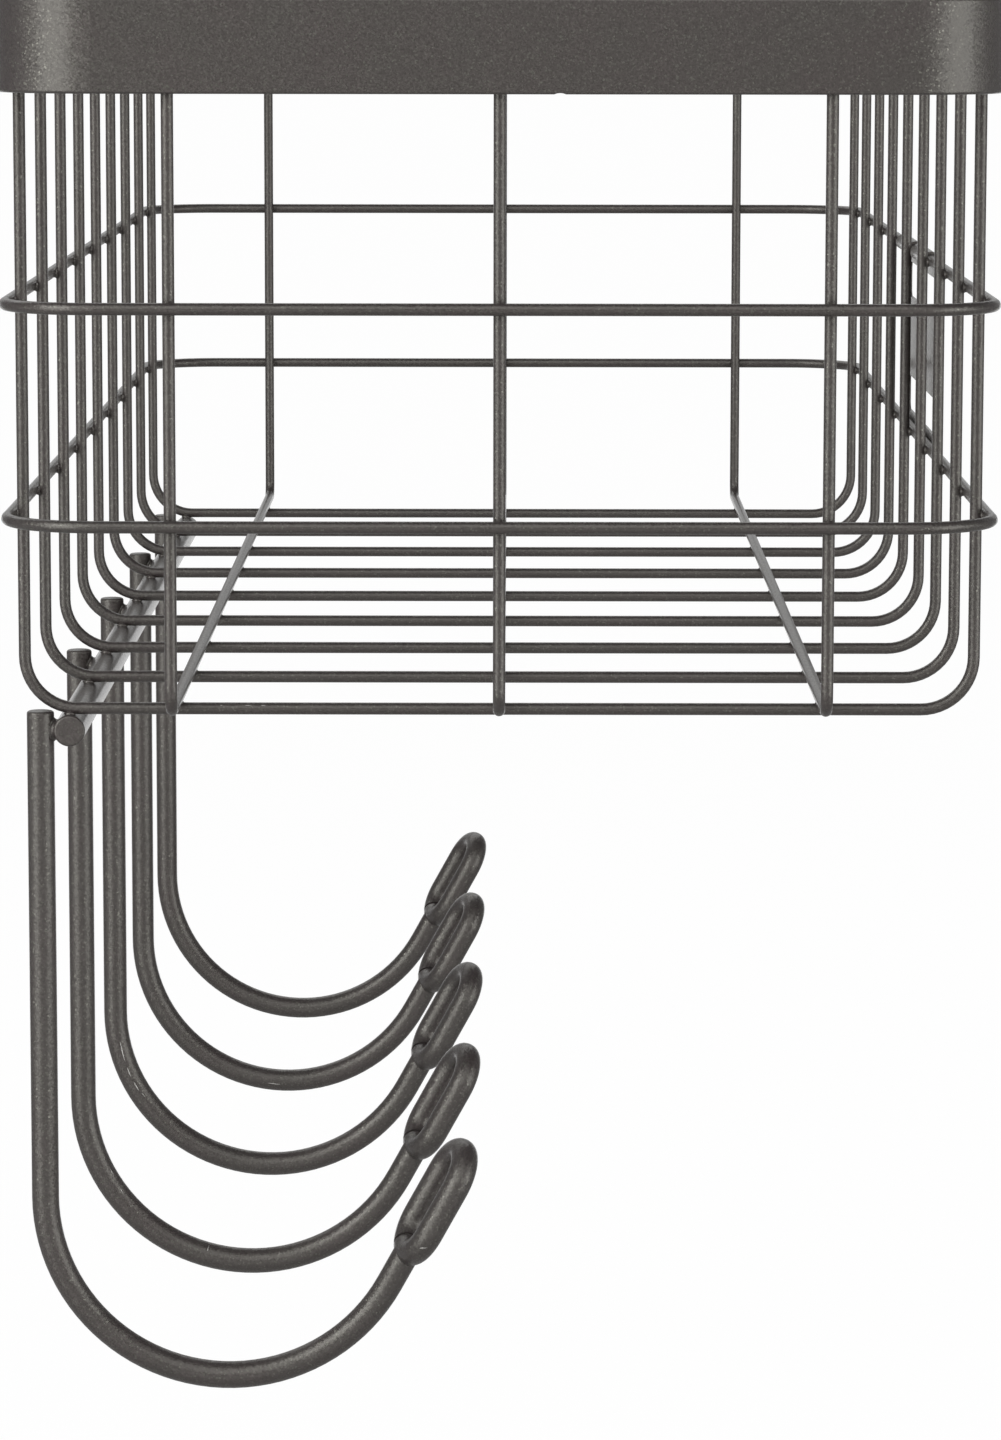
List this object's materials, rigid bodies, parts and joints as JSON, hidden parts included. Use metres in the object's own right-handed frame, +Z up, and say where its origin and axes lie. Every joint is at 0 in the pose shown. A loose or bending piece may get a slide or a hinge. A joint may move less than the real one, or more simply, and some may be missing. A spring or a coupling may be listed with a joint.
{
  "type": "wire shower caddy",
  "caption": "Wall-mounted welded wire basket with a flat band rim, a label plate hung on its front wire, and a row of long hooks with closed eyes under its floor.",
  "frame": {"origin": "on the wall plane, midway between the two screw holes, at the rim's mid height", "axes": "+X out from the wall into the room, +Y along the wall, +Z up"},
  "size_m": [0.1878, 0.42, 0.2668],
  "materials": {
    "powder_coat": "satin graphite powder coat"
  },
  "bodies": {
    "basket": {"rim_band": "powder_coat", "upper_hoop": "powder_coat", "lower_hoop": "powder_coat", "cross_wire_1": "powder_coat", "cross_wire_2": "powder_coat", "cross_wire_3": "powder_coat", "cross_wire_4": "powder_coat", "cross_wire_5": "powder_coat", "cross_wire_6": "powder_coat", "cross_wire_7": "powder_coat", "cross_wire_8": "powder_coat", "cross_wire_9": "powder_coat", "length_wire_1": "powder_coat", "length_wire_2": "powder_coat", "length_wire_3": "powder_coat", "hook_rail": "powder_coat", "hook_1": "powder_coat", "hook_2": "powder_coat", "hook_3": "powder_coat", "hook_4": "powder_coat", "hook_5": "powder_coat"},
    "label": {"label_plate": "powder_coat"}
  },
  "joints": [
    {"name": "label_swing", "type": "hinge", "parent": "basket", "child": "label", "pos_m": [0.18595, 0, -0.048], "axis": [0, -1, 0], "range_deg": [0, 120]}
  ]
}
